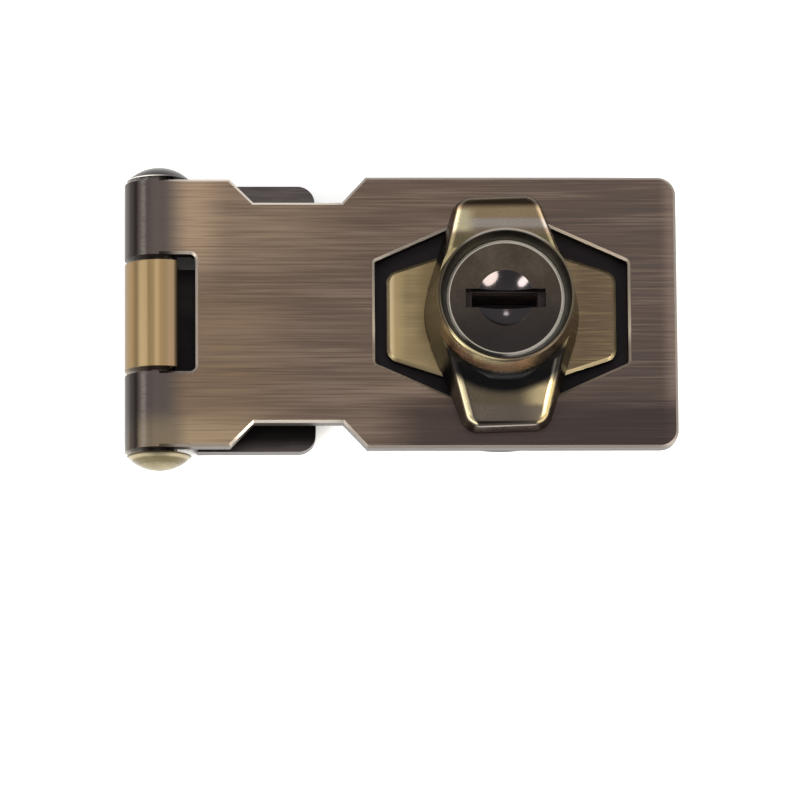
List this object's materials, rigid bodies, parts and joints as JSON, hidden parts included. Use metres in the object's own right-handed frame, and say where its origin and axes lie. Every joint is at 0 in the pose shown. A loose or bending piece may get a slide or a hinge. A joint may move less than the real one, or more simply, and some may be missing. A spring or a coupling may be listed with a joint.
{
  "type": "keyed hasp lock",
  "caption": "Hinged hasp strap with a six-sided window locked over an oval lock base by a winged knob that holds a key cylinder, on a folding mounting leaf.",
  "frame": {"origin": "lock axis at the mounting plane, midway between the lock base's two screw holes", "axes": "+X along the strap from its hinge to the lock, +Y across the strap, towards the hinge pin's formed head, +Z out of the mounting plane along the knob's axis"},
  "size_m": [0.076, 0.0425, 0.0233],
  "materials": {
    "strap_bronze": "brushed antique bronze plating, worn bright at the edges",
    "leaf_bronze": "antique bronze plating, brass coloured on the knuckle",
    "pin_bronze": "dark bronze plating, satin",
    "base_brass": "brushed antique brass",
    "knob_brass": "satin antique brass with dark recesses",
    "face_nickel": "black nickel, satin with a bright edge",
    "cylinder_brass": "plain machined brass",
    "wafer_brass": "stamped brass",
    "spring_steel": "bright spring steel",
    "zinc_steel": "zinc plated steel"
  },
  "bodies": {
    "hasp": {"hasp_strap": "strap_bronze", "hinge_pin": "pin_bronze", "hinge_pin_cap": "pin_bronze", "lock_base": "base_brass", "spring_washer": "spring_steel"},
    "leaf": {"mounting_leaf": "leaf_bronze"},
    "knob": {"wing_knob": "knob_brass", "cylinder_sleeve": "cylinder_brass", "knob_retainer": "zinc_steel", "retainer_screws": "zinc_steel"},
    "plug": {"key_plug": "cylinder_brass", "plug_face_cap": "face_nickel", "plug_clip": "spring_steel", "locking_cam": "zinc_steel", "wafer_spring_1": "spring_steel", "wafer_spring_2": "spring_steel", "wafer_spring_3": "spring_steel", "wafer_spring_4": "spring_steel", "wafer_spring_5": "spring_steel"},
    "bolt": {"locking_bolt": "zinc_steel"},
    "wafer_1": {"wafer_1": "wafer_brass"},
    "wafer_2": {"wafer_2": "wafer_brass"},
    "wafer_3": {"wafer_3": "wafer_brass"},
    "wafer_4": {"wafer_4": "wafer_brass"},
    "wafer_5": {"wafer_5": "wafer_brass"}
  },
  "joints": [
    {"name": "leaf_hinge", "type": "hinge", "parent": "hasp", "child": "leaf", "pos_m": [-0.0471, 0.00045, 0.00475], "axis": [0, 1, 0], "range_deg": [0, 260]},
    {"name": "knob_turn", "type": "hinge", "parent": "hasp", "child": "knob", "pos_m": [0, 0, 0.0152], "axis": [0, 0, 1], "range_deg": [0, 90]},
    {"name": "plug_turn", "type": "hinge", "parent": "knob", "child": "plug", "pos_m": [0, 0, 0.0152], "axis": [0, 0, -1], "range_deg": [0, 90]},
    {"name": "bolt_slide", "type": "slide", "parent": "knob", "child": "bolt", "axis": [1, 0, 0], "range_m": [0, 0.00163]},
    {"name": "wafer_slide_1", "type": "slide", "parent": "plug", "child": "wafer_1", "axis": [-1, 0, 0], "range_m": [0, 0.0007], "deforming": ["wafer_spring_1"]},
    {"name": "wafer_slide_2", "type": "slide", "parent": "plug", "child": "wafer_2", "axis": [1, 0, 0], "range_m": [0, 0.0007], "deforming": ["wafer_spring_2"]},
    {"name": "wafer_slide_3", "type": "slide", "parent": "plug", "child": "wafer_3", "axis": [-1, 0, 0], "range_m": [0, 0.0007], "deforming": ["wafer_spring_3"]},
    {"name": "wafer_slide_4", "type": "slide", "parent": "plug", "child": "wafer_4", "axis": [1, 0, 0], "range_m": [0, 0.0007], "deforming": ["wafer_spring_4"]},
    {"name": "wafer_slide_5", "type": "slide", "parent": "plug", "child": "wafer_5", "axis": [-1, 0, 0], "range_m": [0, 0.0007], "deforming": ["wafer_spring_5"]}
  ],
  "couplings": [
    {"joint": "bolt_slide", "follows": "plug_turn", "m_per_rad": 0.0010354},
    {"joint": "wafer_slide_2", "follows": "wafer_slide_1", "ratio": 1},
    {"joint": "wafer_slide_3", "follows": "wafer_slide_1", "ratio": 1},
    {"joint": "wafer_slide_4", "follows": "wafer_slide_1", "ratio": 1},
    {"joint": "wafer_slide_5", "follows": "wafer_slide_1", "ratio": 1}
  ]
}
